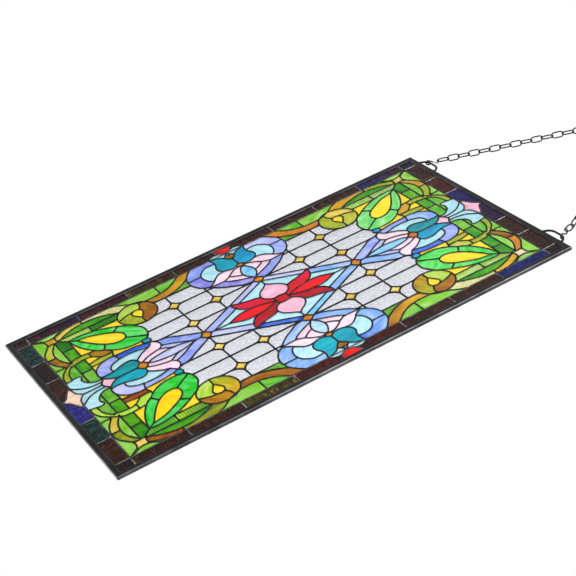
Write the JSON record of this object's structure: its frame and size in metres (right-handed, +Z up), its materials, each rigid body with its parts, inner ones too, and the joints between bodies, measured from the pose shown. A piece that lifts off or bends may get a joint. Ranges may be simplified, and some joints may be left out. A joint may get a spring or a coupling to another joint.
{
  "type": "stained glass window",
  "caption": "Upright hanging panel of coloured glass in lead cames: four leafy corners, flower motifs and a dark border in a metal frame, on two hooks and a chain",
  "frame": {"origin": "inner top of the hanging ring, where one nail or hook carries the whole panel", "axes": "+X right as seen from the front, +Y into the panel from its front to its back, +Z up"},
  "size_m": [0.508, 0.014, 1.3449],
  "materials": {
    "frame": "dark worn zinc",
    "lead": "dark patina on solder",
    "wire": "blackened wire",
    "glass_green": "streaky green art glass",
    "glass_emerald": "wispy emerald art glass",
    "glass_yellow": "opal yellow art glass",
    "glass_amber": "streaky amber art glass",
    "glass_clear": "clear textured glass",
    "glass_blue": "wispy blue art glass",
    "glass_pale_blue": "pale cyan opal glass",
    "glass_red": "smooth red glass",
    "glass_dark": "dark rippled glass",
    "glass_peach": "peach opal glass"
  },
  "bodies": {
    "root": {"chain_left": "wire", "chain_right": "wire", "frame_bottom": "frame", "frame_left": "frame", "frame_right": "frame", "frame_top": "frame", "glass_amber_swoosh_lower_left": "glass_amber", "glass_amber_swoosh_lower_right": "glass_amber", "glass_amber_swoosh_upper_left": "glass_amber", "glass_amber_swoosh_upper_right": "glass_amber", "glass_border_lower_left": "glass_dark", "glass_border_lower_right": "glass_dark", "glass_border_upper_left": "glass_dark", "glass_border_upper_right": "glass_dark", "glass_centre_bands": "glass_blue", "glass_centre_flower": "glass_red", "glass_corner_scroll_lower_left": "glass_green", "glass_corner_scroll_lower_right": "glass_green", "glass_corner_scroll_upper_left": "glass_green", "glass_corner_scroll_upper_right": "glass_green", "glass_end_flower_bottom": "glass_blue", "glass_end_flower_top": "glass_blue", "glass_end_jewel_bottom": "glass_peach", "glass_end_jewel_top": "glass_peach", "glass_end_petals_bottom": "glass_pale_blue", "glass_end_petals_top": "glass_pale_blue", "glass_green_scroll_lower_left": "glass_green", "glass_green_scroll_lower_right": "glass_green", "glass_green_scroll_upper_left": "glass_green", "glass_green_scroll_upper_right": "glass_green", "glass_lattice_lower_left": "glass_clear", "glass_lattice_lower_right": "glass_clear", "glass_lattice_upper_left": "glass_clear", "glass_lattice_upper_right": "glass_clear", "glass_leaf_heart_lower_left": "glass_yellow", "glass_leaf_heart_lower_right": "glass_yellow", "glass_leaf_heart_upper_left": "glass_yellow", "glass_leaf_heart_upper_right": "glass_yellow", "glass_leaf_lower_left": "glass_emerald", "glass_leaf_lower_right": "glass_emerald", "glass_leaf_upper_left": "glass_emerald", "glass_leaf_upper_right": "glass_emerald", "glass_rosette_lower_left": "glass_amber", "glass_rosette_lower_right": "glass_amber", "glass_rosette_upper_left": "glass_amber", "glass_rosette_upper_right": "glass_amber", "glass_side_flower_left": "glass_blue", "glass_side_flower_right": "glass_blue", "glass_side_jewel_left": "glass_red", "glass_side_jewel_right": "glass_red", "glass_swoosh_and_lens_lower_left": "glass_green", "glass_swoosh_and_lens_lower_right": "glass_green", "glass_swoosh_and_lens_upper_left": "glass_green", "glass_swoosh_and_lens_upper_right": "glass_green", "hanging_loop_left": "wire", "hanging_loop_right": "wire", "hanging_ring": "wire", "hook_left": "wire", "hook_right": "wire", "leading": "lead"}
  },
  "joints": []
}
